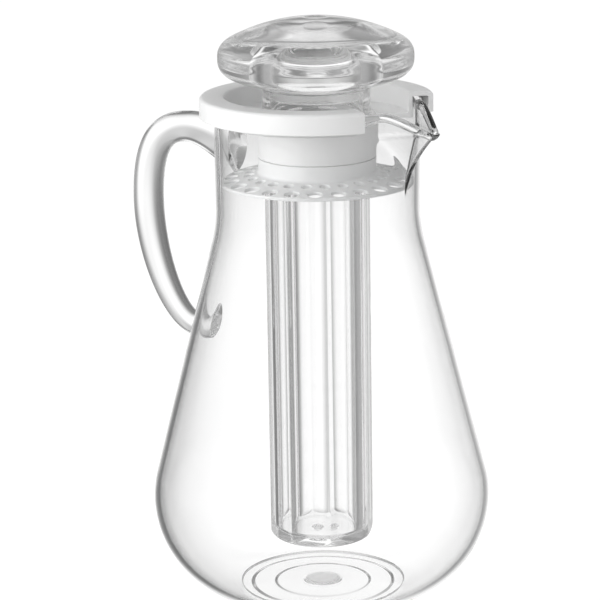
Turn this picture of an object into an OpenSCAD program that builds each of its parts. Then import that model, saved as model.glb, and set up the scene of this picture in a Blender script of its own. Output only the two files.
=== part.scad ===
// A clear table pitcher with a lift-out ice tube, a white lid and a strainer ring.
// The origin is at the middle of the foot, +Z is up and the spout points along +X.

/* [Jug] */
// Height of the rim
jug_h = 248.7; // [240:0.1:270]
// Outer radius of the straight neck
neck_r = 49.4; // [47:0.1:54]
// Widest outer radius of the belly
belly_r = 83; // [78:0.5:90]
// Height of the widest point
belly_z = 51; // [46:0.5:56]
// Slope of the straight side, from upright
side_angle = 14.4; // [13:0.1:17]
// Radius of the curve from the side into the neck
shoulder_arc = 70; // [50:1:90]
// Thickness of the side wall
jug_wall = 2.6; // [2.2:0.1:3.2]
// Radius of the round bead along the rim
bead_r = 2.9; // [2.6:0.1:3.2]
// Overhang of the bead outside the neck
bead_out = 2.5; // [2:0.1:2.8]

/* [Base disc] */
// Radius of the base disc, where it is welded in
base_r = 41.2; // [38:0.1:44]
// Inner radius of the foot ring
foot_in_r = 35; // [30:0.5:37]
// Height of the foot ring
foot_h = 0.8; // [0.5:0.1:1.5]
// Depth of the hollow inside the foot ring
base_recess = 1.2; // [0.8:0.1:1.6]
// Radius of the step in the underside
base_step_r = 23.8; // [18:0.1:28]
// Height of that step
base_step_h = 0.8; // [0.4:0.1:1.2]
// Radius of the round pad in the middle of the floor
base_pad_r = 8.7; // [6:0.1:12]
// Height of that pad
base_pad_h = 1.2; // [0.6:0.1:2]

/* [Spout] */
// Reach of the spout from the axis
spout_reach = 66.2; // [62:0.1:72]
// Half angle between the flanks, seen from above
spout_angle = 43; // [38:0.5:46]
// Length of the spout down from the rim
spout_h = 44.7; // [38:0.1:50]
// Drop of the lip from the rim to the tip
spout_drop = 11; // [8:0.1:16]
// Outer radius of the tip
spout_tip_r = 3.2; // [2.9:0.1:5]
// Thickness of the spout wall
spout_wall = 2.4; // [2:0.1:2.6]
// Thickness of the lip bead outside the spout wall
lip_out = 1.8; // [1:0.1:2]
// Height of the lip bead
lip_h = 4.3; // [4:0.1:7]

/* [Handle] */
// Reach of the handle's middle line from the axis
handle_reach = 99.9; // [92:0.1:108]
// Thickness of the grip
grip_d = 15.3; // [13:0.1:17]
// Thickness of the slim lower part
handle_low_d = 11.2; // [10:0.1:15]
// Depth of the grip's straightest point below the rim
grip_z = 58.7; // [54:0.1:64]
// Depth of the middle of the upper foot below the rim
handle_top_z = 26.7; // [25:0.1:31]
// Depth of the middle of the lower foot below the rim
handle_low_z = 117.7; // [114:0.1:126]
// Height of the upper foot on the neck
upper_foot_h = 28; // [22:0.5:30]
// Width of the upper foot
upper_foot_w = 20.6; // [16:0.1:24]
// Height of the lower foot on the side
lower_foot_h = 13; // [12:0.5:20]
// Width of the lower foot
lower_foot_w = 12.6; // [12:0.1:20]

/* [Lid] */
// Outer radius of the lid's collar
lid_r = 56.3; // [55:0.1:62]
// Height of the collar
lid_h = 10; // [8:0.1:12]
// Thickness of the outer skirt
skirt_wall = 2.4; // [1.6:0.1:2.6]
// Thickness of the top ring over the rim
lid_top_t = 2.2; // [1.6:0.1:3]
// Thickness of the wall inside the mouth
plug_wall = 2.2; // [1.6:0.1:2.6]
// Depth of the recess in the lid
recess_h = 10.2; // [8:0.1:12]
// Thickness of the recess floor
lid_floor_t = 2.4; // [1.8:0.1:3]
// Rounding of the collar's upper edge
lid_round = 2; // [0.5:0.1:2.1]
// Half angle of the pouring cut-out
pour_angle = 35; // [33.5:0.5:38]
// Thickness of the sleeve wall
sleeve_wall = 1.9; // [1.6:0.1:2.4]
// Length of the sleeve under the recess floor
sleeve_h = 16.9; // [14:0.1:20]

/* [Strainer] */
// Height of the strainer's neck, from the seam to its disc
strainer_neck_h = 7.8; // [5:0.1:10]
// Height that the disc slopes down
disc_slope_h = 3.7; // [2:0.1:5]
// Thickness of the disc
disc_t = 1.6; // [1.2:0.1:2.4]
// Length of the snap lap inside the sleeve
lap_h = 4; // [3:0.1:6]
// Number of holes in each row
hole_n = 24; // [16:1:24]
// Diameter of the outer holes
outer_hole_d = 6.9; // [5:0.1:7]
// Diameter of the inner holes
inner_hole_d = 4.7; // [3.5:0.1:5]
// Radius of the row of outer holes
outer_row_r = 41.8; // [41:0.1:42]
// Radius of the row of inner holes
inner_row_r = 33; // [32.5:0.1:34.5]

/* [Ice tube] */
// Outer radius of the tube
tube_r = 26; // [24:0.1:26.4]
// Thickness of the wall around the round mouth
tube_wall = 2.5; // [2:0.1:3]
// Thickness of the wall below the mouth, at its ridges
ridge_wall = 5.1; // [4.6:0.1:5.8]
// Thickness of the tube's floor
tube_floor_t = 3.3; // [2.4:0.1:3.3]
// Height of the tube's lower end above the floor of the jug
tube_h = 25.1; // [15:0.1:60]
// Height of the round mouth above the recess floor
tube_mouth_h = 14.5; // [11:0.1:18]
// Number of flat sides below the mouth
side_n = 8; // [7:1:10]
// Direction of the first ridge from the spout
ridge_turn = -4.2; // [-22:0.1:22]
// Rounding of the tube's lower edge
tube_round = 4.5; // [3:0.1:6]
// Thickness of the flange that hangs in the lid
flange_t = 2.2; // [1.6:0.1:2.8]
// Overhang of that flange outside the tube
flange_out = 2.4; // [1.8:0.1:2.6]
// Radius of the round mark under the tube
tube_mark_r = 2.8; // [2:0.1:4]
// Depth of that mark
tube_mark_h = 0.6; // [0.3:0.1:1]

/* [Stopper] */
// Widest radius of the stopper
stopper_r = 47.1; // [42:0.1:52]
// Height from its underside to the widest point
stopper_low_h = 14; // [11:0.1:17]
// Height from the widest point to the crease
stopper_up_h = 10; // [8:0.1:13]
// Radius of the crease under the dome
crease_r = 38.8; // [32:0.1:40]
// Height of the dome over the crease
dome_h = 8.7; // [6:0.1:12]
// Radius of the dimple at the top
dimple_r = 5; // [3:0.1:8]
// Depth of that dimple
dimple_h = 0.4; // [0.2:0.1:0.8]
// Length of the spigot inside the tube
spigot_h = 6; // [4:0.1:9]
// Thickness of the spigot wall
spigot_wall = 2; // [1.5:0.1:2.5]
// Height of the hollow above the underside
hollow_h = 18; // [12:0.1:20]

/* [Clearances] */
// Gap between pieces that lift off
lift_gap = 0.3; // [0.2:0.05:0.4]
// Gap inside the strainer's snap lap
snap_gap = 0.08; // [0.02:0.01:0.1]
// Gap of the strainer and the lid inside the neck
neck_gap = 0.45; // [0.3:0.05:0.6]

/* [Hidden] */
$fn = 96;
// Extra length of every cut past the face that it opens
over = 1;

// Belly: one arc around belly_mid, then a straight side, then the shoulder arc
belly_arc = belly_z - foot_h;
belly_mid = [belly_r - belly_arc, belly_z];
side_end_r = neck_r + shoulder_arc * (1 - cos(side_angle));
side_start_r = belly_mid.x + belly_arc * cos(side_angle);
side_start_z = belly_mid.y + belly_arc * sin(side_angle);
side_end_z = side_start_z + (side_start_r - side_end_r) / tan(side_angle);
shoulder_mid = [neck_r + shoulder_arc, side_end_z + shoulder_arc * sin(side_angle)];
mouth_r = neck_r - jug_wall;
bead_z = jug_h - bead_r;
bead_mid_r = neck_r + bead_out - bead_r;
belly_steps = 22;
shoulder_steps = 6;

// Base disc: its upper face meets the inside of the belly at the weld
function belly_low_z(arc) = belly_mid.y - sqrt(pow(arc, 2) - pow(base_r - belly_mid.x, 2));
floor_z = belly_low_z(belly_arc - jug_wall);

// Spout: every section is two circles joined by straight flanks, one circle inside the
// neck wall and one at the tip
spout_root_z = jug_h - spout_h;
spout_tip_z = jug_h - spout_drop;
spout_base_r = neck_r - jug_wall / 2;
spout_hollow_r = mouth_r - jug_wall / 2;
spout_start_r = neck_r - spout_wall / 3;
lip_start_x = neck_r - jug_wall / 2;
lip_end_x = spout_reach - spout_tip_r + (spout_tip_r - spout_wall) / sin(spout_angle);
spout_curve_share = 1.85;
lip_curve_share = 1.29;
spout_rows = 9;
tip_steps = 8;
flank_steps = 6;

// Lid
lid_z = jug_h + lift_gap + lid_top_t;
skirt_in_r = lid_r - skirt_wall;
plug_r = mouth_r - neck_gap;
plug_in_r = plug_r - plug_wall;
recess_z = lid_z - recess_h;
lid_under_z = recess_z - lid_floor_t;
sleeve_in_r = tube_r + 2 * lift_gap;
sleeve_r = sleeve_in_r + sleeve_wall;
seam_z = lid_under_z - sleeve_h;
seat_r = tube_r + flange_out + lift_gap;
seat_z = recess_z - flange_t * 2 / 3;
seat_wall = 1.6;
hub_r = seat_r + seat_wall;

// Strainer
lap_r = sleeve_in_r + sleeve_wall / 2;
disc_r = mouth_r - neck_gap - lift_gap / 2;
disc_top_z = seam_z - strainer_neck_h;

// Ice tube
tube_top_z = recess_z + tube_mouth_h;
tube_low_z = floor_z + tube_h;
flange_z = seat_z + lift_gap;
ridge_r = tube_r - lift_gap / 2;
bore_r = tube_r - ridge_wall;
bore_round = tube_round / 2;
round_steps = 6;

// Stopper
stopper_z = tube_top_z + lift_gap;
stopper_mid_z = stopper_z + stopper_low_h;
crease_z = stopper_mid_z + stopper_up_h;
dome_arc = (pow(crease_r, 2) + pow(dome_h, 2)) / (2 * dome_h);
spigot_r = tube_r - tube_wall - lift_gap;
hollow_r = spigot_r - spigot_wall;
// Squareness of the stopper's side below and above its widest point
low_side_share = 3;
up_side_share = 2.5;
side_steps = 12;

// Points of an arc around mid, from angle a to angle b
function arc(mid, r, a, b, steps) =
    [for (i = [0 : steps]) let (t = a + (b - a) * i / steps) mid + r * [cos(t), sin(t)]];

// Side of the jug from the weld up to the shoulder; inset moves it inwards
function jug_side(inset) = concat(
    arc(belly_mid, belly_arc - inset, -acos((base_r - belly_mid.x) / (belly_arc - inset)),
        side_angle, belly_steps),
    arc(shoulder_mid, shoulder_arc + inset, 180 + side_angle, 180, shoulder_steps));

// A solid of revolution under that side, from the axis, up to height top
module jug_form(inset, top) {
    side = jug_side(inset);
    rotate_extrude()
        polygon(concat([[0, side[0].y]], side, [[neck_r - inset, top], [0, top]]));
}

// A closed skin over a stack of rings; each ring runs anticlockwise seen from its end
module skin(rings, capped_in_pairs) {
    n = len(rings[0]);
    last = len(rings) - 1;
    sides = [for (k = [0 : last - 1], i = [0 : n - 1]) let (j = (i + 1) % n)
        each [[k * n + i, (k + 1) * n + i, (k + 1) * n + j], [k * n + i, (k + 1) * n + j, k * n + j]]];
    pairs = [for (i = [0 : floor(n / 2) - 1]) let (a = [i, i + 1, n - 2 - i, n - 1 - i])
        (a[1] == a[2]) ? [a[0], a[1], a[3]] : a];
    low = capped_in_pairs ? pairs : [[for (i = [0 : n - 1]) i]];
    high = [for (f = low) [for (i = [len(f) - 1 : -1 : 0]) last * n + f[i]]];
    polyhedron([for (ring = rings) each ring], concat(sides, low, high));
}

// Reach of the spout's ridge at height z
function spout_ridge(z) = spout_start_r + (spout_reach - spout_start_r)
    * pow(min(1, (z - spout_root_z) / (spout_tip_z - spout_root_z)), spout_curve_share);

// Height of the lip over the distance x from the axis
function lip_z(x) = jug_h - spout_drop
    * pow(max(0, min(1, (x - lip_start_x) / (lip_end_x - lip_start_x))), lip_curve_share);

// One section: flanks from a base circle of radius a to a tip circle of radius t, with the
// ridge at reach; a long spout has flanks that start as tangents of the base circle
function spout_section(a, t, reach) =
    let (c = reach - spout_tip_r, lean = max(90 - spout_angle, acos(min(1, (a - t) / c))),
         turn = lean - acos(min(1, (c * cos(lean) + t) / a)),
         root = a * [cos(turn), sin(turn)], end = [c, 0] + t * [cos(lean), sin(lean)],
         flank = [for (i = [1 : flank_steps]) end + (root - end) * i / flank_steps])
    concat([for (i = [flank_steps - 1 : -1 : 0]) [flank[i].x, -flank[i].y]],
           arc([c, 0], t, -lean, lean, tip_steps), flank);

// The spout as a solid; inset moves its walls inwards and rise lifts its top
module spout_form(a, inset, rise) {
    t = spout_tip_r - inset;
    knee_z = spout_tip_z - lip_h;
    level = [for (k = [0 : spout_rows]) let (z = spout_root_z + (knee_z - spout_root_z) * k / spout_rows)
        [for (p = spout_section(a, t, spout_ridge(z))) [p.x, p.y, z]]];
    sloped = [for (down = [lip_h / 2, 0])
        [for (p = spout_section(a, t, spout_ridge(spout_tip_z - down)))
            [p.x, p.y, lip_z(p.x) - down + ((down == 0) ? rise : 0)]]];
    skin(concat(level, sloped), true);
}

// The bead along the spout's lip: each row has a depth under the lip and a share of lip_out
module spout_bead() {
    bead_row_shares = [[1, 0.1], [0.75, 0.75], [0.45, 1], [0.15, 0.8], [0, 0.3]];
    skin([for (row = bead_row_shares) let (grow = row[1] * lip_out)
        [for (p = spout_section(spout_base_r + grow, spout_tip_r + grow, spout_reach))
            [p.x, p.y, lip_z(p.x) - row[0] * lip_h]]], true);
}

module jug_body() {
    color([0.88, 0.92, 0.94, 0.4])
    difference() {
        union() {
            jug_form(0, bead_z);
            translate([0, 0, bead_z])
                rotate_extrude()
                    translate([bead_mid_r, 0])
                        circle(r = bead_r);
            spout_form(spout_base_r, 0, 0);
            spout_bead();
        }
        jug_form(jug_wall, jug_h + over);
        spout_form(spout_hollow_r, spout_wall, over);
        cylinder(r = base_r, h = belly_z);
    }
}

module jug_base() {
    color([0.85, 0.9, 0.93, 0.45])
    difference() {
        union() {
            cylinder(r = base_r, h = floor_z);
            cylinder(r = base_pad_r, h = floor_z + base_pad_h);
        }
        translate([0, 0, -over])
            cylinder(r = foot_in_r, h = base_recess + over);
        cylinder(r = base_step_r, h = base_recess + base_step_h);
    }
}

// Handle: two curves meet upright at the grip; each is a list of [reach, height]
function curve(p, t) = pow(1 - t, 3) * p[0] + 3 * t * pow(1 - t, 2) * p[1]
    + 3 * pow(t, 2) * (1 - t) * p[2] + pow(t, 3) * p[3];
function slope(p, t) = pow(1 - t, 2) * (p[1] - p[0]) + 2 * t * (1 - t) * (p[2] - p[1])
    + pow(t, 2) * (p[3] - p[2]);
upper_z = jug_h - handle_top_z;
middle_z = jug_h - grip_z;
lower_z = jug_h - handle_low_z;
handle_rise = upper_z + grip_d * 0.82;
handle_root_r = neck_r - 2 * jug_wall;
low_root_r = belly_mid.x + belly_arc / 3;
upper_curve = [[handle_root_r, upper_z],
               [(handle_root_r + handle_reach) / 2 + grip_d / 3, handle_rise],
               [handle_reach, handle_rise], [handle_reach, middle_z]];
lower_curve = [[handle_reach, middle_z],
               [handle_reach, middle_z - (middle_z - lower_z) * 0.7],
               [handle_reach - handle_low_d * 2.7, lower_z - handle_low_d * 3.2],
               [low_root_r, lower_z + handle_low_d * 2]];
handle_steps = 15;
handle_sides = 20;
// Share of each curve over which the handle flares into its foot
upper_flare_share = 0.42;
lower_flare_share = 0.28;

// Half sizes of the handle's section, in its plane and across it, at share t of a curve
function upper_half(t) = let (flare = pow(max(0, 1 - t / upper_flare_share), 2))
    [grip_d + (upper_foot_h - grip_d) * flare, grip_d + (upper_foot_w - grip_d) * flare] / 2;
function lower_half(t) =
    let (flare = pow(max(0, 1 - (1 - t) / lower_flare_share), 2),
         d = grip_d + (handle_low_d - grip_d) * min(1, t / (1 - lower_flare_share)))
    [d + (lower_foot_h - d) * flare, d + (lower_foot_w - d) * flare] / 2;

function handle_ring(at, way, half) = let (u = way / norm(way))
    [for (i = [0 : handle_sides - 1]) let (a = 360 * i / handle_sides)
        [-at.x + half[0] * cos(a) * u.y, half[1] * sin(a), at.y + half[0] * cos(a) * u.x]];

module handle() {
    upper = [for (k = [0 : handle_steps]) let (t = k / handle_steps)
        handle_ring(curve(upper_curve, t), slope(upper_curve, t), upper_half(t))];
    lower = [for (k = [1 : handle_steps]) let (t = k / handle_steps)
        handle_ring(curve(lower_curve, t), slope(lower_curve, t), lower_half(t))];
    color([0.86, 0.9, 0.93, 0.6])
    difference() {
        skin(concat(upper, lower), false);
        jug_form(0, bead_z);
    }
}

// A ring of rectangular section
module band(r0, r1, z0, z1) {
    rotate_extrude()
        translate([r0, z0])
            square([r1 - r0, z1 - z0]);
}

module lid() {
    reach = 2 * lid_r;
    color([0.96, 0.96, 0.95])
    difference() {
        union() {
            rotate_extrude()
                polygon(concat(
                    [[plug_in_r, lid_under_z], [plug_r, lid_under_z], [plug_r, lid_z - lid_top_t],
                     [skirt_in_r, lid_z - lid_top_t], [skirt_in_r, lid_z - lid_h],
                     [lid_r, lid_z - lid_h]],
                    arc([lid_r - lid_round, lid_z - lid_round], lid_round, 0, 90, round_steps),
                    arc([plug_in_r + lid_round / 2, lid_z - lid_round / 2], lid_round / 2, 90, 180,
                        round_steps)));
            band(sleeve_in_r, plug_in_r + plug_wall / 2, lid_under_z, recess_z);
            band(seat_r, hub_r, lid_under_z, recess_z + lift_gap);
            band(sleeve_in_r, sleeve_r, seam_z + lap_h, recess_z);
            band(lap_r + snap_gap, sleeve_r, seam_z, recess_z);
        }
        translate([0, 0, seat_z])
            cylinder(r = seat_r, h = lid_z);
        difference() {
            translate([0, 0, seam_z])
                linear_extrude(height = lid_z)
                    polygon([[0, 0], reach * [cos(pour_angle), -sin(pour_angle)], [reach, 0],
                             reach * [cos(pour_angle), sin(pour_angle)]]);
            cylinder(r = hub_r, h = 2 * lid_z);
        }
    }
}

module strainer() {
    color([0.94, 0.95, 0.95])
    difference() {
        union() {
            rotate_extrude()
                polygon([[sleeve_in_r, disc_top_z - disc_t], [disc_r, disc_top_z - disc_slope_h - disc_t],
                         [disc_r, disc_top_z - disc_slope_h], [sleeve_r, disc_top_z],
                         [sleeve_r, seam_z - lift_gap], [sleeve_in_r, seam_z - lift_gap]]);
            band(sleeve_in_r, lap_r, disc_top_z, seam_z + lap_h - lift_gap);
        }
        for (i = [0 : hole_n - 1]) {
            rotate([0, 0, i * 360 / hole_n])
                translate([outer_row_r, 0, disc_top_z - disc_slope_h - disc_t - over])
                    cylinder(d = outer_hole_d, h = disc_slope_h + disc_t + 2 * over);
            rotate([0, 0, (i + 0.5) * 360 / hole_n])
                translate([inner_row_r, 0, disc_top_z - disc_slope_h - disc_t - over])
                    cylinder(d = inner_hole_d, h = disc_slope_h + disc_t + 2 * over);
        }
    }
}

// A round rod with a rounded lower edge
module rounded_rod(r, z0, z1, edge) {
    rotate_extrude()
        polygon(concat([[0, z0]], arc([r - edge, z0 + edge], edge, -90, 0, round_steps), [[r, z1], [0, z1]]));
}

module ice_tube() {
    color([0.84, 0.9, 0.94, 0.5])
    difference() {
        union() {
            intersection() {
                translate([0, 0, tube_low_z - over])
                    linear_extrude(height = seat_z - tube_low_z + over)
                        polygon([for (i = [0 : side_n - 1]) let (a = ridge_turn + 360 * i / side_n)
                            ridge_r * [cos(a), sin(a)]]);
                rounded_rod(tube_r, tube_low_z, seat_z + over, tube_round);
            }
            translate([0, 0, seat_z - tube_wall])
                cylinder(r = tube_r, h = tube_top_z - seat_z + tube_wall);
            band(tube_r - tube_wall / 2, tube_r + flange_out, flange_z, flange_z + flange_t);
        }
        rounded_rod(bore_r, tube_low_z + tube_floor_t, seat_z + over, bore_round);
        translate([0, 0, seat_z])
            cylinder(r = tube_r - tube_wall, h = tube_top_z - seat_z + over);
        translate([0, 0, tube_low_z - over])
            cylinder(r = tube_mark_r, h = tube_mark_h + over);
    }
}

// Side of the stopper from a share of the way down to the widest point, and up to the crease
function oval(r, h, share, t) = [r * pow(cos(t), 2 / share), h * pow(sin(t), 2 / share)];
up_side_h = stopper_up_h / pow(1 - pow(crease_r / stopper_r, up_side_share), 1 / up_side_share);
crease_turn = atan2(pow(stopper_up_h / up_side_h, up_side_share / 2),
                    pow(crease_r / stopper_r, up_side_share / 2));

module stopper_bowl() {
    low = [for (i = [0 : side_steps]) let (p = oval(stopper_r, stopper_low_h, low_side_share,
        90 - 90 * i / side_steps)) [p.x, stopper_mid_z - p.y]];
    up = [for (i = [1 : side_steps]) let (p = oval(stopper_r, up_side_h, up_side_share,
        crease_turn * i / side_steps)) [p.x, stopper_mid_z + p.y]];
    color([0.8, 0.86, 0.9, 0.5])
    difference() {
        union() {
            rotate_extrude()
                polygon(concat(low, up, [[0, crease_z]]));
            translate([0, 0, stopper_z - spigot_h])
                cylinder(r = spigot_r, h = spigot_h + stopper_low_h);
        }
        translate([0, 0, stopper_z - spigot_h - over])
            cylinder(r = hollow_r, h = spigot_h + hollow_h + over);
    }
}

module stopper_dome() {
    half_angle = asin(crease_r / dome_arc);
    color([0.86, 0.91, 0.95, 0.6])
    difference() {
        rotate_extrude()
            polygon(concat([[0, crease_z]],
                           arc([0, crease_z + dome_h - dome_arc], dome_arc, 90 - half_angle, 90,
                               side_steps)));
        translate([0, 0, crease_z + dome_h - dimple_h])
            cylinder(r = dimple_r, h = dome_h);
    }
}

jug_body();
jug_base();
handle();
lid();
strainer();
ice_tube();
stopper_bowl();
stopper_dome();
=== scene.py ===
import math

import bmesh
import bpy
import numpy as np
from mathutils import Matrix, Vector

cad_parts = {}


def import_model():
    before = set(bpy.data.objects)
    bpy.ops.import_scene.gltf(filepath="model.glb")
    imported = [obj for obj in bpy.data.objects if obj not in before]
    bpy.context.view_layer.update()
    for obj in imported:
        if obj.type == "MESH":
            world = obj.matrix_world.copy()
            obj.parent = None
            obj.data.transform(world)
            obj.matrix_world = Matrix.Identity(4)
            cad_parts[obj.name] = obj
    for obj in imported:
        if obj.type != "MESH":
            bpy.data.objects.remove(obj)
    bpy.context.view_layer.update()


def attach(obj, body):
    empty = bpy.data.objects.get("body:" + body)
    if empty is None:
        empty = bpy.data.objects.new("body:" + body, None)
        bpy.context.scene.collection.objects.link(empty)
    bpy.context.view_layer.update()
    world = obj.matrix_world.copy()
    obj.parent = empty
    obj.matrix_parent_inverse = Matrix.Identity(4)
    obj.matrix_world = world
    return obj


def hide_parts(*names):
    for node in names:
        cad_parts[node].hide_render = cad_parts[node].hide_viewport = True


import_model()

MM = 0.001
STAGE = bpy.context.scene.collection
AROUND = np.radians(np.arange(0, 360, 1.5))


# ---------------------------------------------------------------- sizes, in mm, as in the CAD
JUG_H, NECK_R, WALL = 248.7, 49.4, 2.6
BELLY_ARC = 50.2
BELLY_MID = (32.8, 51.0)
SLOPE = math.radians(14.4)
SHOULDER = 70.0
SIDE_END_R = NECK_R + SHOULDER * (1 - math.cos(SLOPE))
SIDE_START_R = BELLY_MID[0] + BELLY_ARC * math.cos(SLOPE)
SIDE_START_Z = BELLY_MID[1] + BELLY_ARC * math.sin(SLOPE)
SIDE_END_Z = SIDE_START_Z + (SIDE_START_R - SIDE_END_R) / math.tan(SLOPE)
SHOULDER_MID = (NECK_R + SHOULDER, SIDE_END_Z + SHOULDER * math.sin(SLOPE))
BASE_R, FOOT_IN_R = 41.2, 35.0
FLOOR_Z = BELLY_MID[1] - math.sqrt((BELLY_ARC - WALL) ** 2 - (BASE_R - BELLY_MID[0]) ** 2)
SPOUT_ROOT_Z, SPOUT_TIP_Z = 204.0, 237.7
SPOUT_REACH, SPOUT_START_R, TIP_R = 66.2, 48.6, 3.2
SPOUT_WALL = 2.4
SPOUT_LEAN = math.radians(90 - 43)
LIP_START_X, LIP_END_X, LIP_DROP = 48.1, 64.17, 11.0
LID_Z, LID_R = 251.2, 56.3
SLEEVE_IN_R, SLEEVE_OUT_R = 26.6, 28.5
SEAT_Z = 239.53  # the tube's flange hangs here, in the lid's sleeve


# ---------------------------------------------------------------- mesh helpers
def add_object(name, shape, body, node, material, sharp=35):
    """A piece from the (vertices, faces) of its shape, in mm; edges steeper than sharp degrees stay sharp."""
    verts, faces = shape
    mesh = bpy.data.meshes.new(name)
    mesh.from_pydata([tuple(v) for v in np.asarray(verts) * MM], [], faces)
    bm = bmesh.new()
    bm.from_mesh(mesh)
    bmesh.ops.remove_doubles(bm, verts=bm.verts, dist=1e-7)
    bmesh.ops.recalc_face_normals(bm, faces=bm.faces)
    bm.to_mesh(mesh)
    bm.free()
    mesh.polygons.foreach_set("use_smooth", [True] * len(mesh.polygons))
    mesh.set_sharp_from_angle(angle=math.radians(sharp))
    mesh.materials.append(material)
    obj = bpy.data.objects.new(name, mesh)
    STAGE.objects.link(obj)
    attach(obj, body)
    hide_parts(node)
    return obj


def skin(rings, ends="fan"):
    """Vertices and faces over a stack of rings, an array of [ring][point][3]. The ends of the stack are each
    closed by a "fan" of triangles, or joined in a "loop", or left "open"."""
    rings = np.asarray(rings, float)
    rows, cols = rings.shape[:2]
    verts = rings.reshape(-1, 3).tolist()
    faces = []
    j = np.arange(cols)
    k = (j + 1) % cols
    for i in range(rows if ends == "loop" else rows - 1):
        a, b = i * cols, ((i + 1) % rows) * cols
        faces += np.stack([a + j, a + k, b + k, b + j], 1).tolist()
    if ends == "fan":
        for row, step in ((0, -1), (rows - 1, 1)):
            first, middle = row * cols, len(verts)
            verts.append(rings[row].mean(0).tolist())
            faces += [[first + x, first + (x + step) % cols, middle] for x in range(cols)]
    return verts, faces


def joined(shapes):
    """The vertices and faces of several shapes as one."""
    verts, faces = [], []
    for more_verts, more_faces in shapes:
        faces += [[len(verts) + i for i in face] for face in more_faces]
        verts += more_verts
    return verts, faces


def turned(profile, angles):
    """A ring of points for each (radius, height), which are single numbers or have a value for each angle."""
    rings = []
    for r, z in profile:
        r, z = np.broadcast_to(r, angles.shape), np.broadcast_to(z, angles.shape)
        rings.append(np.stack([r * np.cos(angles), r * np.sin(angles), z], 1))
    return np.array(rings)


def rounded(corners, steps=5, closed=True):
    """A profile whose corners (radius, height, rounding) are rounded off by small arcs."""
    nearly_straight = math.radians(88)
    out = []
    n = len(corners)
    for i, (x, y, r) in enumerate(corners):
        p = np.array([x, y])
        if r <= 0 or (not closed and i in (0, n - 1)):
            out.append(p)
            continue
        a = np.array(corners[i - 1][:2]) - p
        b = np.array(corners[(i + 1) % n][:2]) - p
        a, b = a / np.linalg.norm(a), b / np.linalg.norm(b)
        half = math.acos(max(-1, min(1, float(a @ b)))) / 2
        if half > nearly_straight:
            out.append(p)
            continue
        cut = r / math.tan(half)
        centre = p + (a + b) / np.linalg.norm(a + b) * r / math.sin(half)
        start, end = p + a * cut - centre, p + b * cut - centre
        t0 = math.atan2(start[1], start[0])
        turn = (math.atan2(end[1], end[0]) - t0 + math.pi) % (2 * math.pi) - math.pi
        for s in range(steps + 1):
            t = t0 + turn * s / steps
            out.append(centre + r * np.array([math.cos(t), math.sin(t)]))
    return out


def arc(mid, r, a, b, steps):
    """Points of an arc from a to b degrees."""
    t = np.radians(np.linspace(a, b, steps + 1))
    return [(mid[0] + r * math.cos(x), mid[1] + r * math.sin(x)) for x in t]


def spaced(a, b, n):
    """n even steps from a to b, without a itself."""
    return np.linspace(a, b, n + 1)[1:]


def smooth(x):
    """0 to 1, soft at both ends."""
    x = np.clip(x, 0, 1)
    return x * x * (3 - 2 * x)


# ---------------------------------------------------------------- materials
def grey(v):
    """A grey colour with full alpha."""
    return (v, v, v, 1)


def nodes_of(owner):
    """Empties the node tree of a material or a world, and returns a function that adds a node to it. An input
    is a value, an output, or a node that stands for its first output."""
    owner.use_nodes = True
    tree = owner.node_tree
    tree.nodes.clear()

    def new(kind, inputs=None, **settings):
        node = tree.nodes.new(kind)
        for key, value in settings.items():
            setattr(node, key, value)
        for key, value in (inputs or {}).items():
            if isinstance(value, bpy.types.Node):
                value = value.outputs[0]
            if isinstance(value, bpy.types.NodeSocket):
                tree.links.new(value, node.inputs[key])
            else:
                node.inputs[key].default_value = value
        return node

    return new


def ranged(new, value, from_min, from_max, to_min, to_max, **settings):
    """A node that maps a value from one range to another."""
    return new("ShaderNodeMapRange", {"Value": value, "From Min": from_min, "From Max": from_max,
                                      "To Min": to_min, "To Max": to_max}, **settings)


def clear_plastic(name, ior=1.5, frost=None):
    """frost is the radius and the highest z, in mm, of a mark around the axis with a dull finish."""
    tint, shadow_tint, dullness = grey(0.992), grey(0.94), 0.4
    m = bpy.data.materials.new(name)
    new = nodes_of(m)
    where = new("ShaderNodeTexCoord").outputs["Object"]
    noise = new("ShaderNodeTexNoise", {"Vector": where, "Scale": 45, "Detail": 1.5})
    waves = new("ShaderNodeBump", {"Height": noise, "Strength": 0.25, "Distance": 0.0001})
    rough = 0
    if frost:
        radius, top = frost
        axes = new("ShaderNodeSeparateXYZ", {0: where}).outputs
        flat = new("ShaderNodeCombineXYZ", {"X": axes["X"], "Y": axes["Y"]})
        reach = new("ShaderNodeVectorMath", {0: flat}, operation="LENGTH").outputs["Value"]
        inside = new("ShaderNodeMath", {0: reach, 1: radius * MM}, operation="LESS_THAN")
        under = new("ShaderNodeMath", {0: axes["Z"], 1: top * MM}, operation="LESS_THAN")
        both = new("ShaderNodeMath", {0: inside, 1: under}, operation="MULTIPLY")
        rough = new("ShaderNodeMath", {0: both, 1: dullness}, operation="MULTIPLY")
    plastic = new("ShaderNodeBsdfPrincipled", {
        "Base Color": tint, "Transmission Weight": 1, "IOR": ior, "Roughness": rough, "Normal": waves})
    shadow = new("ShaderNodeBsdfTransparent", {"Color": shadow_tint})
    path = new("ShaderNodeLightPath").outputs
    mix = new("ShaderNodeMixShader", {0: path["Is Shadow Ray"], 1: plastic, 2: shadow})
    new("ShaderNodeOutputMaterial", {"Surface": mix})
    return m


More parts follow.
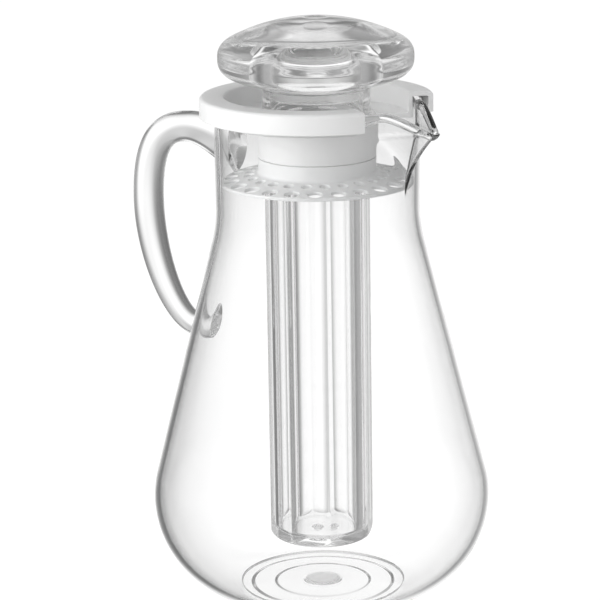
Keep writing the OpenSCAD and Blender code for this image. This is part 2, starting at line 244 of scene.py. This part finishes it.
def white_plastic(name, colour=(0.86, 0.862, 0.86)):
    """White plastic with a fine grain, whose tone and gloss vary a little."""
    darker = tuple(c * 0.975 for c in colour)
    m = bpy.data.materials.new(name)
    new = nodes_of(m)
    where = new("ShaderNodeTexCoord").outputs["Object"]
    soft = new("ShaderNodeTexNoise", {"Vector": where, "Scale": 60, "Detail": 3})
    fine = new("ShaderNodeTexNoise", {"Vector": where, "Scale": 2600, "Detail": 2})
    tone = new("ShaderNodeMix", {"Factor": soft, "A": (*colour, 1), "B": (*darker, 1)}, data_type="RGBA")
    rough = ranged(new, soft, 0, 1, 0.3, 0.42)
    grain = new("ShaderNodeBump", {"Height": fine, "Strength": 0.25, "Distance": 0.00002})
    plastic = new("ShaderNodeBsdfPrincipled", {
        "Base Color": tone.outputs["Result"], "IOR": 1.49, "Roughness": rough, "Normal": grain,
        "Subsurface Weight": 0.12, "Subsurface Radius": (1, 1, 1), "Subsurface Scale": 0.0015})
    new("ShaderNodeOutputMaterial", {"Surface": plastic})
    return m


JUG_MAT = clear_plastic("clear_jug")
BASE_MAT = clear_plastic("clear_base", frost=(8.4, 10))
HANDLE_MAT = clear_plastic("clear_handle")
TUBE_MAT = clear_plastic("clear_tube", ior=1.57, frost=(2.9, 32))
STOPPER_MAT = clear_plastic("clear_stopper")
LID_MAT = white_plastic("white_lid")
STRAINER_MAT = white_plastic("white_strainer", (0.84, 0.845, 0.845))


# ---------------------------------------------------------------- jug shell with its spout
def side_profile(inset):
    """(radius, height) of the jug's side from the weld up to the neck."""
    belly_steps, straight_steps, shoulder_steps, weld_gap = 54, 29, 26, 0.02
    r = BELLY_ARC - inset
    low = -math.degrees(math.acos((BASE_R - BELLY_MID[0]) / r))
    (weld_r, weld_z), *belly = arc(BELLY_MID, r, low, math.degrees(SLOPE), belly_steps)
    shoulder = arc(SHOULDER_MID, SHOULDER + inset, 180 + math.degrees(SLOPE), 180, shoulder_steps)
    a, b = np.array(belly[-1]), np.array(shoulder[0])
    straight = [tuple(a + (b - a) * t) for t in spaced(0, 1, straight_steps)[:-1]]
    return [(weld_r + weld_gap, weld_z)] + belly + straight + shoulder


def side_r(z):
    """Radius of the jug's outer side at height z."""
    if z <= SIDE_START_Z:
        return BELLY_MID[0] + math.sqrt(max(0, BELLY_ARC ** 2 - (z - BELLY_MID[1]) ** 2))
    if z >= SHOULDER_MID[1]:
        return NECK_R
    if z >= SHOULDER_MID[1] - SHOULDER * math.sin(SLOPE):
        return SHOULDER_MID[0] - math.sqrt(SHOULDER ** 2 - (z - SHOULDER_MID[1]) ** 2)
    return SIDE_START_R - (z - SIDE_START_Z) * math.tan(SLOPE)


def spout_columns():
    """Angles around the jug, closest together at the tip of the spout."""
    half = np.concatenate([np.arange(0, 2.6, 0.2), np.arange(2.75, 8, 0.45),
                           np.arange(8.2, 34, 0.7), np.arange(35, 180, 1.25), [180.0]])
    return np.radians(np.concatenate([-half[-2:0:-1], half]))


def ridge(z):
    """Distance from the axis to the front of the spout at height z."""
    bend = 1.85
    share = np.clip((z - SPOUT_ROOT_Z) / (SPOUT_TIP_Z - SPOUT_ROOT_Z), 0, 1)
    return SPOUT_START_R + (SPOUT_REACH - SPOUT_START_R) * share ** bend


def lip_z(x):
    """Height of the rim, which drops along the spout."""
    bend = 1.29
    share = np.clip((x - LIP_START_X) / (LIP_END_X - LIP_START_X), 0, 1)
    return JUG_H - LIP_DROP * share ** bend


def mouth_r(theta, z, off):
    """Radius of the neck with its spout, off mm outside the outer wall, smoothly joined."""
    join, join_rise, steep, most = 1.3, 10, 30, 1.5  # mm, mm, mm per radian, radians
    t = np.abs(theta)
    c = ridge(z) - TIP_R
    tip = TIP_R + off * SPOUT_WALL / WALL
    d = c * math.cos(SPOUT_LEAN) + tip
    edge = np.arctan2(tip * math.sin(SPOUT_LEAN), c + tip * math.cos(SPOUT_LEAN))
    round_tip = c * np.cos(t) + np.sqrt(np.maximum(tip ** 2 - (c * np.sin(t)) ** 2, 0))
    flat = d / np.cos(np.minimum(SPOUT_LEAN - t, most))
    flank = np.where(t < SPOUT_LEAN, flat, d - steep * (t - SPOUT_LEAN))
    v = np.where(t <= edge, round_tip, flank)
    neck = NECK_R + off
    k = join * np.clip((z - SPOUT_ROOT_Z) / join_rise, 0, 1)
    return (neck + v + np.sqrt((neck - v) ** 2 + k ** 2)) / 2


def rim_bead(th):
    """(radius, height) of the rim's rounded bead from outside to inside; it is slimmer along the lip."""
    lip_angle, blend_angle, bead_steps, rounds = math.radians(33), math.radians(10), 18, 12
    lip = smooth((lip_angle - np.abs(th)) / blend_angle)
    mid = -0.4 + 0.04 * lip
    half_width = 2.9 - 0.59 * lip
    half_height = 2.9 - 0.75 * lip
    start = -np.arccos(-mid / half_width)
    end = np.arccos((-WALL - mid) / half_width)
    bead = []
    for s in np.linspace(0, 1, bead_steps + 1):
        phi = start + (end - start) * s
        off = mid + half_width * np.cos(phi)
        z = np.full_like(th, JUG_H)
        for _ in range(rounds):
            z = lip_z(mouth_r(th, z, off) * np.cos(th)) - half_height * (1 - np.sin(phi))
        bead.append((mouth_r(th, z, off), z))
    return bead


def jug_shell():
    spout_steps, neck_steps = 34, 3
    th = spout_columns()
    bead = rim_bead(th)
    profile = side_profile(0)
    profile += [(NECK_R, z) for z in spaced(SHOULDER_MID[1], SPOUT_ROOT_Z, neck_steps)]
    for s in spaced(0, 1, spout_steps)[:-1]:
        z = SPOUT_ROOT_Z + (bead[0][1] - SPOUT_ROOT_Z) * s
        profile.append((mouth_r(th, z, 0), z))
    profile += bead
    for s in spaced(0, 1, spout_steps):
        z = bead[-1][1] + (SPOUT_ROOT_Z - bead[-1][1]) * s
        profile.append((mouth_r(th, z, -WALL), z))
    profile += [(NECK_R - WALL, z) for z in spaced(SPOUT_ROOT_Z, SHOULDER_MID[1], neck_steps)[:-1]]
    profile += side_profile(WALL)[::-1]
    add_object("jug_shell", skin(turned(profile, th), "loop"), "jug", "jug_body", JUG_MAT, 50)


jug_shell()


# ---------------------------------------------------------------- base disc
def base_disc():
    edge_r, centre_r = BASE_R - 0.03, 0.4
    hollow_r, hollow_z, step_r, step_z = 22.9, 2.0, 24.3, 1.2
    pad_r, pad_slope, pad_side, pad_top = 8.7, 1.4, 0.9, 1.1
    profile = rounded([
        (0.0, hollow_z, 0), (hollow_r, hollow_z, 2.2), (step_r, step_z, 1.6), (FOOT_IN_R - 0.6, step_z, 1.0),
        (FOOT_IN_R + 1.2, 0.0, 0.9), (edge_r, 0.0, 0.9), (edge_r, FLOOR_Z, 0.25),
        (pad_r + pad_slope, FLOOR_Z, 2.4), (pad_r - pad_slope, FLOOR_Z + pad_side, 2.4),
        (0.0, FLOOR_Z + pad_top, 0)], steps=8, closed=False)
    profile = [(centre_r, hollow_z)] + profile[1:-1] + [(centre_r, FLOOR_Z + pad_top)]
    add_object("base_disc", skin(turned(profile, AROUND)), "jug", "jug_base", BASE_MAT)


base_disc()


# ---------------------------------------------------------------- handle
GRIP_D, LOW_D, REACH = 15.3, 11.2, 99.9
ROOT_R, UPPER_Z, MIDDLE_Z, LOWER_Z = 44.2, 222.0, 190.0, 131.0
UPPER = np.array([[ROOT_R, UPPER_Z], [(ROOT_R + REACH) / 2 + GRIP_D / 3, UPPER_Z + GRIP_D * 0.82],
                  [REACH, UPPER_Z + GRIP_D * 0.82], [REACH, MIDDLE_Z]])
LOWER = np.array([[REACH, MIDDLE_Z], [REACH, MIDDLE_Z - (MIDDLE_Z - LOWER_Z) * 0.7],
                  [REACH - LOW_D * 2.7, LOWER_Z - LOW_D * 3.2],
                  [BELLY_MID[0] + BELLY_ARC / 3, LOWER_Z + LOW_D * 2]])
# Height and width of a foot, and the part of its curve over which it flares
UPPER_FOOT, UPPER_FLARE = (28, 20.6), 0.42
LOWER_FOOT, LOWER_FLARE = (13, 12.6), 0.28
THINNING = 0.72  # the part of the lower curve over which the rod thins
BOND = 0.04  # gap between the handle and the jug's side


def handle_point(t, angle):
    """A point of the handle's skin: t runs 0 to 2 from the upper root to the lower one."""
    p, u = (UPPER, t) if t < 1 else (LOWER, t - 1)
    at = (1 - u) ** 3 * p[0] + 3 * u * (1 - u) ** 2 * p[1] + 3 * u * u * (1 - u) * p[2] + u ** 3 * p[3]
    way = (1 - u) ** 2 * (p[1] - p[0]) + 2 * u * (1 - u) * (p[2] - p[1]) + u * u * (p[3] - p[2])
    way = way / np.linalg.norm(way)
    if t < 1:
        d, foot, flare = GRIP_D, UPPER_FOOT, 1 - u / UPPER_FLARE
    else:
        d = GRIP_D + (LOW_D - GRIP_D) * smooth(min(1, u / THINNING))
        foot, flare = LOWER_FOOT, 1 - (1 - u) / LOWER_FLARE
    tall, wide = ((d + (size - d) * max(0, flare) ** 2) / 2 for size in foot)
    c, s = math.cos(angle), math.sin(angle)
    return np.array([-at[0] + tall * c * way[1], wide * s, at[1] + tall * c * way[0]])


def skin_start(inner, outer, angle):
    """Where a line along the handle's skin leaves the jug, between t = inner and t = outer."""
    halvings = 40
    for _ in range(halvings):
        mid = (inner + outer) / 2
        x, y, z = handle_point(mid, angle)
        if math.hypot(x, y) - side_r(z) - BOND > 0:
            outer = mid
        else:
            inner = mid
    return outer


def handle_foot(loop):
    """Rings that close a foot along the jug's surface."""
    az = np.unwrap(np.arctan2(loop[:, 1], loop[:, 0]) % (2 * math.pi))
    mid_az, mid_z = az.mean(), loop[:, 2].mean()
    rings = []
    for s in (0.97, 0.8, 0.55, 0.3, 0.05):
        a, z = mid_az + (az - mid_az) * s, mid_z + (loop[:, 2] - mid_z) * s
        rings.append(turned([(np.array([side_r(x) + BOND for x in z]), z)], a)[0])
    return rings


def handle_rod():
    sides, steps = 56, 150
    lines = []
    for i in range(sides):
        angle = 2 * math.pi * i / sides
        top, bottom = skin_start(0.0, 0.9, angle), skin_start(2.0, 1.2, angle)
        lines.append([handle_point(top + (bottom - top) * s, angle) for s in np.linspace(0, 1, steps + 1)])
    rings = np.swapaxes(np.array(lines), 0, 1)
    rings = handle_foot(rings[0])[::-1] + list(rings) + handle_foot(rings[-1])
    add_object("handle_rod", skin(rings), "jug", "handle", HANDLE_MAT, 50)


handle_rod()


# ---------------------------------------------------------------- ice tube
SIDES, RIDGE_R, RIDGE_TURN = 8, 25.85, math.radians(-4.2)
BORE_R, TUBE_EDGE, BORE_EDGE, TUBE_FLOOR = 20.9, 4.5, 2.6, 4.2
TUBE_LOW, TUBE_TOP = FLOOR_Z + 25.1, 255.5
COLLAR_R, FLANGE_R, MOUTH_R = 26.0, 28.4, 23.5
COLLAR_Z, BORE_TOP = SEAT_Z - 4.5, SEAT_Z - 3
GATE_R = 3.0


def soft_min(a, b, k):
    """The smaller of two values, with a soft change from one to the other over about k."""
    return (a + b - np.sqrt((a - b) ** 2 + k * k)) / 2


def tube():
    """Flat sides outside with softly rounded ridges, a round bore inside."""
    fine, ridge_soft, edge_soft = 0.035, 0.25, 0.12
    half = math.pi / SIDES
    part = np.concatenate([np.linspace(0, fine, 5), np.linspace(fine, half, 9)[1:]])
    part = np.concatenate([-part[:0:-1], part])[:-1]
    th = np.concatenate([RIDGE_TURN + 2 * half * i + part for i in range(SIDES)])
    away = np.tile(half - np.abs(part), SIDES)
    outside = soft_min(RIDGE_R * math.cos(half) / np.cos(away), RIDGE_R, ridge_soft)

    gate = ((0.5, 0.6), (1.6, 0.6), (2.4, 0.6), (2.75, 0.5), (2.85, 0.12), (GATE_R, 0))
    profile = [(r, TUBE_LOW + dent) for r, dent in gate]
    flat_r = RIDGE_R - TUBE_EDGE
    profile += [(GATE_R + (flat_r - GATE_R) * s, TUBE_LOW) for s in (0.15, 0.4, 0.7, 0.9, 1.0)]
    for a in np.radians(spaced(0, 84, 20)):
        profile.append((soft_min(outside, flat_r + TUBE_EDGE * math.sin(a), edge_soft),
                        TUBE_LOW + TUBE_EDGE * (1 - math.cos(a))))
    profile += [(outside, z) for z in spaced(TUBE_LOW + TUBE_EDGE, COLLAR_Z, 40)]
    for s in spaced(0, 1, 6):
        profile.append((outside * (1 - smooth(s)) + COLLAR_R * smooth(s), COLLAR_Z + 2.0 * s))
    profile += rounded([
        (COLLAR_R, SEAT_Z - 2.0, 0), (COLLAR_R, SEAT_Z + 0.3, 0.2), (FLANGE_R, SEAT_Z + 0.3, 0.4),
        (FLANGE_R, SEAT_Z + 2.5, 0.5), (COLLAR_R, SEAT_Z + 2.5, 0.6), (COLLAR_R, TUBE_TOP, 1.1),
        (MOUTH_R, TUBE_TOP, 1.1), (MOUTH_R, SEAT_Z, 0.5), (BORE_R, SEAT_Z, 0.5), (BORE_R, BORE_TOP, 0)],
        closed=False)
    bore_low = TUBE_LOW + TUBE_FLOOR
    profile += [(BORE_R, z) for z in spaced(BORE_TOP, bore_low + BORE_EDGE, 40)]
    for a in np.radians(spaced(0, 90, 12)):
        profile.append((BORE_R - BORE_EDGE * (1 - math.cos(a)), bore_low + BORE_EDGE * (1 - math.sin(a))))
    profile += [((BORE_R - BORE_EDGE) * s, bore_low) for s in (0.75, 0.45, 0.2, 0.03)]
    add_object("ice_tube_shell", skin(turned(profile, th)), "tube", "ice_tube", TUBE_MAT, 40)


tube()


# ---------------------------------------------------------------- stopper
def stopper():
    axis_r = 0.3
    spigot_low, rest_z, hollow_z, widest_z, crease_z, top = 249.8, 255.8, 273.8, 269.8, 279.8, 288.3
    bowl_top, dome_low = crease_z - 0.06, crease_z + 0.02
    hollow_r, spigot_r, shoulder_r, bend_r, widest_r, crease_r = 21.2, 23.2, 27.0, 42.0, 47.1, 38.8
    low_h, low_power, high_h, high_power = 14, 3, 10, 2.5

    def drop(r):
        """How far the bowl's side lies under its widest point, at radius r."""
        return low_h * (1 - (r / widest_r) ** low_power) ** (1 / low_power)

    bowl = [(axis_r, hollow_z)]
    bowl += rounded([(axis_r, hollow_z, 0), (hollow_r, hollow_z, 1.2), (hollow_r, spigot_low, 0.5),
                     (spigot_r, spigot_low, 0.6), (spigot_r, rest_z, 0.4), (shoulder_r, rest_z + 0.65, 0)],
                    closed=False)[1:]
    bowl += [(r, widest_z - drop(r)) for r in spaced(shoulder_r, bend_r, 12)]
    for y in spaced(drop(bend_r), 0, 16):
        bowl.append((widest_r * (1 - (y / low_h) ** low_power) ** (1 / low_power), widest_z - y))
    reach = high_h / (1 - (crease_r / widest_r) ** high_power) ** (1 / high_power)
    for y in spaced(0, high_h, 18)[:-1]:
        bowl.append((widest_r * (1 - (y / reach) ** high_power) ** (1 / high_power), widest_z + y))
    bowl += [(crease_r, bowl_top), (axis_r, bowl_top)]
    add_object("stopper_body", skin(turned(bowl, AROUND)),
               "stopper", "stopper_bowl", STOPPER_MAT, 30)

    dome_h, pip_r = 8.7, 5.0
    arc_r = (crease_r ** 2 + dome_h ** 2) / (2 * dome_h)
    mid_z = crease_z + dome_h - arc_r
    dome = [(axis_r, dome_low), (crease_r, dome_low)]
    for a in np.linspace(math.asin(crease_r / arc_r), math.asin(pip_r / arc_r), 24)[1:-1]:
        dome.append((arc_r * math.sin(a), mid_z + arc_r * math.cos(a)))
    pip = ((5.2, 0), (4.9, 0.05), (4.5, 0.25), (3.6, 0.34), (axis_r, 0.35))
    dome += [(r, top - down) for r, down in pip]
    add_object("stopper_cap", skin(turned(dome, AROUND)),
               "stopper", "stopper_dome", STOPPER_MAT, 12)


stopper()


# ---------------------------------------------------------------- lid
def lid():
    cut, cut_steps = math.radians(35), 200
    angles = np.linspace(cut, 2 * math.pi - cut, cut_steps)
    hub_r, plug_in, plug_out, skirt_in = 29.5, 44.15, 46.35, 53.9
    under_z, recess_z, rim_z, skirt_z = 238.6, 241.0, LID_Z - 2.2, LID_Z - 10
    profile = rounded([
        (hub_r, under_z, 0), (plug_out, under_z, 0.5), (plug_out, rim_z, 0.4), (skirt_in, rim_z, 0.5),
        (skirt_in, skirt_z, 0.3), (LID_R, skirt_z, 0.5), (LID_R, LID_Z, 2.0), (plug_in, LID_Z, 1.0),
        (plug_in, recess_z, 0.8), (hub_r, recess_z, 0)], steps=6)
    verts, faces = skin(np.swapaxes(turned(profile, angles), 0, 1), "open")
    n = len(profile)
    first_end, last_end = list(range(n)), [(cut_steps - 1) * n + j for j in reversed(range(n))]
    faces += [first_end, last_end]

    lap_r, lap_z, sleeve_z, ring_r, seat_r, ring_z = 27.7, 225.7, 221.7, 30.3, 28.7, 241.3
    sleeve = rounded([
        (SLEEVE_IN_R, lap_z, 0.15), (lap_r, lap_z, 0.1), (lap_r, sleeve_z, 0.1),
        (SLEEVE_OUT_R, sleeve_z, 0.25), (SLEEVE_OUT_R, under_z, 0.5), (ring_r, under_z, 0.3),
        (ring_r, ring_z, 0.35), (seat_r, ring_z, 0.25), (seat_r, SEAT_Z, 0.1),
        (SLEEVE_IN_R, SEAT_Z, 0.3)], steps=4)
    shape = joined([(verts, faces), skin(turned(sleeve, AROUND), "loop")])
    obj = add_object("lid_shell", shape, "lid", "lid", LID_MAT, 30)
    edge = obj.modifiers.new("soft_edges", "BEVEL")
    edge.width, edge.segments, edge.limit_method, edge.angle_limit = 0.0005, 3, "ANGLE", math.radians(50)


lid()


# ---------------------------------------------------------------- strainer with its holes
TOP_Z, FALL, THICK = 213.9, 3.7, 1.6
IN_R, BETWEEN_R, OUT_R, EDGE_R = 29.9, 37.1, 45.8, 46.2
HOLES = 24  # in a row
CELL, STEPS = 15, 8  # degrees of the cell around a hole, steps on each side of a cell
HOLE_SOFT = 0.3


def z_top(r):
    """Height of the sloping disc's top."""
    return TOP_Z - FALL * (r - SLEEVE_OUT_R) / (EDGE_R - SLEEVE_OUT_R)


def z_low(r):
    """Height of the disc's underside."""
    return TOP_Z - THICK - FALL * (r - SLEEVE_IN_R) / (EDGE_R - SLEEVE_IN_R)


def laid(xy, height, lift=0):
    """Points of the plan laid on the disc's top or underside."""
    return [(x, y, height(math.hypot(x, y)) + lift) for x, y in xy]


def cell_with_hole(angle, mid_r, r0, r1, hole_d):
    """The piece of the disc around one hole, from its top edge through the hole to its lower edge."""
    step, half = math.radians(CELL) / STEPS, STEPS // 2
    side = np.linspace(r0, r1, STEPS + 1)
    edge = [(r0, angle + step * (j - half)) for j in range(STEPS)]
    edge += [(side[j], angle + step * half) for j in range(STEPS)]
    edge += [(r1, angle + step * (half - j)) for j in range(STEPS)]
    edge += [(side[STEPS - j], angle - step * half) for j in range(STEPS)]
    cell = np.array([(r * math.cos(t), r * math.sin(t)) for r, t in edge])
    hole = np.array([mid_r * math.cos(angle), mid_r * math.sin(angle)])
    turn = np.arctan2(cell[:, 1] - hole[1], cell[:, 0] - hole[0])
    unit = np.stack([np.cos(turn), np.sin(turn)], 1)
    rings = []
    for height, sign in ((z_top, -1), (z_low, 1)):
        part = [laid(cell, height)]
        for s in (0.5, 0.8):
            part.append(laid(cell * (1 - s) + (hole + unit * (hole_d / 2 + HOLE_SOFT)) * s, height))
        for q in np.radians((0, 30, 60, 90)):
            ring = hole + unit * (hole_d / 2 + HOLE_SOFT * (1 - math.sin(q)))
            part.append(laid(ring, height, sign * HOLE_SOFT * (1 - math.cos(q))))
        rings += part if sign < 0 else part[::-1]
    return skin(rings, "open")


def strainer():
    shapes = []
    for offset, *row in ((0.0, 41.8, BETWEEN_R, OUT_R, 6.9), (7.5, 33.0, IN_R, BETWEEN_R, 4.7)):
        for i in range(HOLES):
            shapes.append(cell_with_hole(math.radians(CELL * i + offset), *row))

    bead, bulge = 0.35, 0.4
    rim = [(OUT_R, z_top(OUT_R))]
    rim += [(EDGE_R - bead + bead * math.sin(q), z_top(EDGE_R) - bead + bulge * math.cos(q))
            for q in np.radians((30, 60, 90))]
    rim += [(EDGE_R - bead + bead * math.cos(q), z_low(EDGE_R) + bead - bulge * math.sin(q))
            for q in np.radians((0, 30, 60))]
    rim += [(OUT_R, z_low(OUT_R))]

    soft, fillet, sag = 0.3, 1.2, 0.25
    lap_r, lap_z, edge_z, neck_z = 27.55, 221.4, 225.1, 225.4
    neck = [(IN_R, z_low(IN_R)), (27.2, z_low(27.2))]
    neck += [(SLEEVE_IN_R + soft * (1 - math.sin(q)), z_low(SLEEVE_IN_R) + soft * (1 - math.cos(q)) + 0.05)
             for q in np.radians((30, 60, 90))]
    neck += [(SLEEVE_IN_R, 219.0), (SLEEVE_IN_R, edge_z), (26.9, neck_z), (27.3, neck_z), (lap_r, edge_z),
             (lap_r, lap_z), (28.25, lap_z), (SLEEVE_OUT_R, lap_z - 0.25), (SLEEVE_OUT_R, 216.0)]
    neck += [(SLEEVE_OUT_R + fillet * (1 - math.cos(q)),
              z_top(SLEEVE_OUT_R) + fillet - fillet * math.sin(q) - sag * math.sin(q))
             for q in np.radians((0, 25, 50, 75))]
    neck += [(IN_R, z_top(IN_R))]

    around = np.radians(np.arange(0, 360, CELL / STEPS))
    shapes += [skin(turned(profile, around), "open") for profile in (rim, neck)]
    add_object("strainer_ring", joined(shapes), "strainer", "strainer", STRAINER_MAT, 40)


strainer()


# ---------------------------------------------------------------- stage, in m
def add_to_stage(name, verts, faces, material, unseen_by):
    """A piece of the set, which some kinds of ray do not see."""
    mesh = bpy.data.meshes.new(name)
    mesh.from_pydata(verts, [], faces)
    mesh.materials.append(material)
    obj = bpy.data.objects.new(name, mesh)
    STAGE.objects.link(obj)
    for rays in unseen_by:
        setattr(obj, "visible_" + rays, False)


def pale_floor():
    """Lit by the lamps like plain paper, with some light of its own for the camera."""
    half, below = 6.0, -0.0003
    m = bpy.data.materials.new("pale_floor")
    new = nodes_of(m)
    plain = new("ShaderNodeBsdfDiffuse", {"Color": grey(0.8)})
    part = new("ShaderNodeBsdfDiffuse", {"Color": grey(0.3)})
    glow = new("ShaderNodeEmission", {"Strength": 0.85})
    both = new("ShaderNodeAddShader", {0: part, 1: glow})
    path = new("ShaderNodeLightPath").outputs
    mix = new("ShaderNodeMixShader", {0: path["Is Camera Ray"], 1: plain, 2: both})
    new("ShaderNodeOutputMaterial", {"Surface": mix})
    corners = [(x * half, y * half, below) for x, y in ((-1, -1), (1, -1), (1, 1), (-1, 1))]
    add_to_stage("floor", corners, [[0, 1, 2, 3]], m, ("glossy", "transmission"))


pale_floor()


# Brightness of the wall by direction, in degrees to the left of VIEW. WALL_LOW holds up to a height of 0.02 m
# and again from 0.66 m, WALL_MIDDLE from 0.18 to 0.38 m, WALL_HIGH from 0.48 to 0.54 m. Between these heights
# they blend.
VIEW = 122
WALL_LOW = (
    (-172, 0.85), (-157, 0.9), (-142, 0.85), (-127, 0.75), (-112, 0.55), (-98, 0.38), (-85, 0.27),
    (-75, 0.29), (-65, 0.42), (-55, 0.42), (-45, 0.38), (-38, 0.34), (-33, 0.4), (-28, 0.6), (-23, 0.86),
    (-17, 1.2), (-12, 1.24), (-7, 1.22), (-2, 1.16), (5, 1.16), (12, 1.1), (18, 0.84), (22, 0.5),
    (28, 0.18), (33, 0.2), (38, 0.2), (50, 0.12), (65, 0.24), (80, 0.42), (100, 0.65), (130, 0.85),
    (157, 0.85))
WALL_MIDDLE = (
    (-172, 0.6), (-157, 0.5), (-142, 0.62), (-127, 0.72), (-112, 0.68), (-98, 0.56), (-85, 0.41), (-65, 0.39),
    (-55, 0.3), (-45, 0.24), (-38, 0.26), (-33, 0.3), (-28, 0.38), (-23, 0.46), (-17, 0.54), (-12, 0.61),
    (-7, 0.73), (0, 0.47), (7, 0.7), (12, 0.61), (18, 0.53), (22, 0.41), (28, 0.35), (33, 0.26), (38, 0.2),
    (45, 0.2), (55, 0.35), (75, 0.4), (85, 0.6), (98, 0.83), (127, 1.0), (157, 0.5))
WALL_HIGH = (
    (-172, 0.95), (-157, 1.6), (-142, 1.2), (-127, 1.0), (-112, 0.83), (-98, 0.65), (-85, 0.5), (-65, 0.45),
    (-45, 0.5), (-28, 0.28), (-12, 0.2), (0, 0.18), (12, 0.2), (38, 0.2), (55, 0.35), (75, 0.7), (98, 1.0),
    (127, 1.0), (157, 0.8))


def light_wall():
    """A round wall that only glass and gloss see, in place of the photographer's lamps and screens."""
    radius, low, high, side_angle = 0.6, -1.0, 1.4, 3.75
    full, dim = 2.0, 0.72  # strength, and the part of it that is left far below the floor
    m = bpy.data.materials.new("light_wall")
    new = nodes_of(m)
    where = new("ShaderNodeTexCoord").outputs["Object"]
    turn = new("ShaderNodeTexGradient", {0: where}, gradient_type="RADIAL").outputs["Fac"]
    height = new("ShaderNodeSeparateXYZ", {0: where}).outputs["Z"]

    def row(bands):
        ramp = new("ShaderNodeValToRGB", {0: turn})
        ramp.color_ramp.interpolation = "B_SPLINE"
        elements = ramp.color_ramp.elements
        elements.remove(elements[-1])
        places = sorted(((VIEW + a + 180) % 360 / 360, v / full) for a, v in bands)
        elements[0].position, elements[0].color = places[0][0], grey(places[0][1])
        for at, v in places[1:]:
            elements.new(at).color = grey(v)
        return ramp

    def by_height(z0, z1, v0, v1):
        return ranged(new, height, z0, z1, v0, v1, interpolation_type="SMOOTHSTEP")

    colour = row(WALL_LOW)
    for bands, z0, z1 in ((WALL_MIDDLE, 0.02, 0.18), (WALL_HIGH, 0.38, 0.48), (WALL_LOW, 0.54, 0.66)):
        blend = {"Factor": by_height(z0, z1, 0, 1), "A": colour, "B": row(bands)}
        colour = new("ShaderNodeMix", blend, data_type="RGBA").outputs["Result"]
    strength = by_height(-0.55, -0.15, dim * full, full)
    glow = new("ShaderNodeEmission", {"Color": colour, "Strength": strength})
    new("ShaderNodeOutputMaterial", {"Surface": glow})
    angles = np.radians(np.arange(0, 360, side_angle))
    verts, faces = skin(turned([(radius, low), (radius, high)], angles), "open")
    add_to_stage("light_wall", verts, faces, m, ("camera", "diffuse", "shadow"))


light_wall()


def world():
    """White for the camera. What glass sees past the wall, and what lights the rest, is dimmer higher up."""
    w = bpy.data.worlds.new("studio")
    bpy.context.scene.world = w
    new = nodes_of(w)
    path = new("ShaderNodeLightPath").outputs
    where = new("ShaderNodeTexCoord").outputs["Generated"]
    height = new("ShaderNodeSeparateXYZ", {0: where}).outputs["Z"]
    white = new("ShaderNodeBackground", {"Color": grey(1)})
    seen_strength = ranged(new, height, -0.1, 0.1, 0.9, 0.6)
    seen = new("ShaderNodeBackground", {"Color": grey(0.8), "Strength": seen_strength})
    lit_strength = ranged(new, height, 0.25, 0.45, 0.86, 0.57)
    lit = new("ShaderNodeBackground", {"Color": grey(1), "Strength": lit_strength})
    rays = {0: path["Is Glossy Ray"], 1: path["Is Transmission Ray"]}
    by_glass = new("ShaderNodeMath", rays, operation="MAXIMUM")
    glass = new("ShaderNodeMixShader", {0: by_glass, 1: lit, 2: seen})
    mix = new("ShaderNodeMixShader", {0: path["Is Camera Ray"], 1: glass, 2: white})
    new("ShaderNodeOutputWorld", {"Surface": mix})


world()


def softbox(name, azimuth, power):
    """A lamp beside the object, aimed at the jug."""
    size, distance, height, aim = (0.5, 0.8), 1.1, 0.35, (0, 0, 0.17)
    lamp = bpy.data.lights.new(name, "AREA")
    lamp.shape, lamp.size, lamp.size_y = "RECTANGLE", *size
    lamp.energy = power
    obj = bpy.data.objects.new(name, lamp)
    STAGE.objects.link(obj)
    a = math.radians(azimuth)
    obj.location = (distance * math.cos(a), distance * math.sin(a), height)
    obj.rotation_mode = "QUATERNION"
    obj.rotation_quaternion = (Vector(aim) - obj.location).to_track_quat("-Z", "Y")


softbox("key_left", 230, 5.2)
softbox("key_front", 260, 2.75)


# ---------------------------------------------------------------- camera
def camera():
    """The photo's camera, worked out from the circles in it: place in mm, angles in degrees."""
    place, azimuth, pitch, roll = (643.9, -1048.1, 465.8), 32, 14.42, 0.902
    data = bpy.data.cameras.new("camera")
    data.sensor_width, data.lens = 36, 156
    data.clip_start, data.clip_end = 0.05, 50
    obj = bpy.data.objects.new("camera", data)
    STAGE.objects.link(obj)
    az, pitch, roll = (math.radians(x) for x in (azimuth, pitch, roll))
    ahead = Vector((-math.sin(az) * math.cos(pitch), math.cos(az) * math.cos(pitch), -math.sin(pitch)))
    right = Vector((math.cos(az), math.sin(az), 0))
    up = right.cross(ahead)
    x = right * math.cos(roll) - up * math.sin(roll)
    y = right * math.sin(roll) + up * math.cos(roll)
    m = Matrix((x, y, -ahead)).transposed().to_4x4()
    m.translation = Vector(place) * MM
    obj.matrix_world = m
    bpy.context.scene.camera = obj


camera()


# ---------------------------------------------------------------- render settings
BOUNCES = 64  # light trapped in the clear parts turns black when its path is cut short
scene = bpy.context.scene
scene.view_settings.view_transform = "Standard"
scene.cycles.max_bounces = BOUNCES
scene.cycles.transmission_bounces = BOUNCES
scene.cycles.glossy_bounces = BOUNCES
scene.cycles.transparent_max_bounces = 24
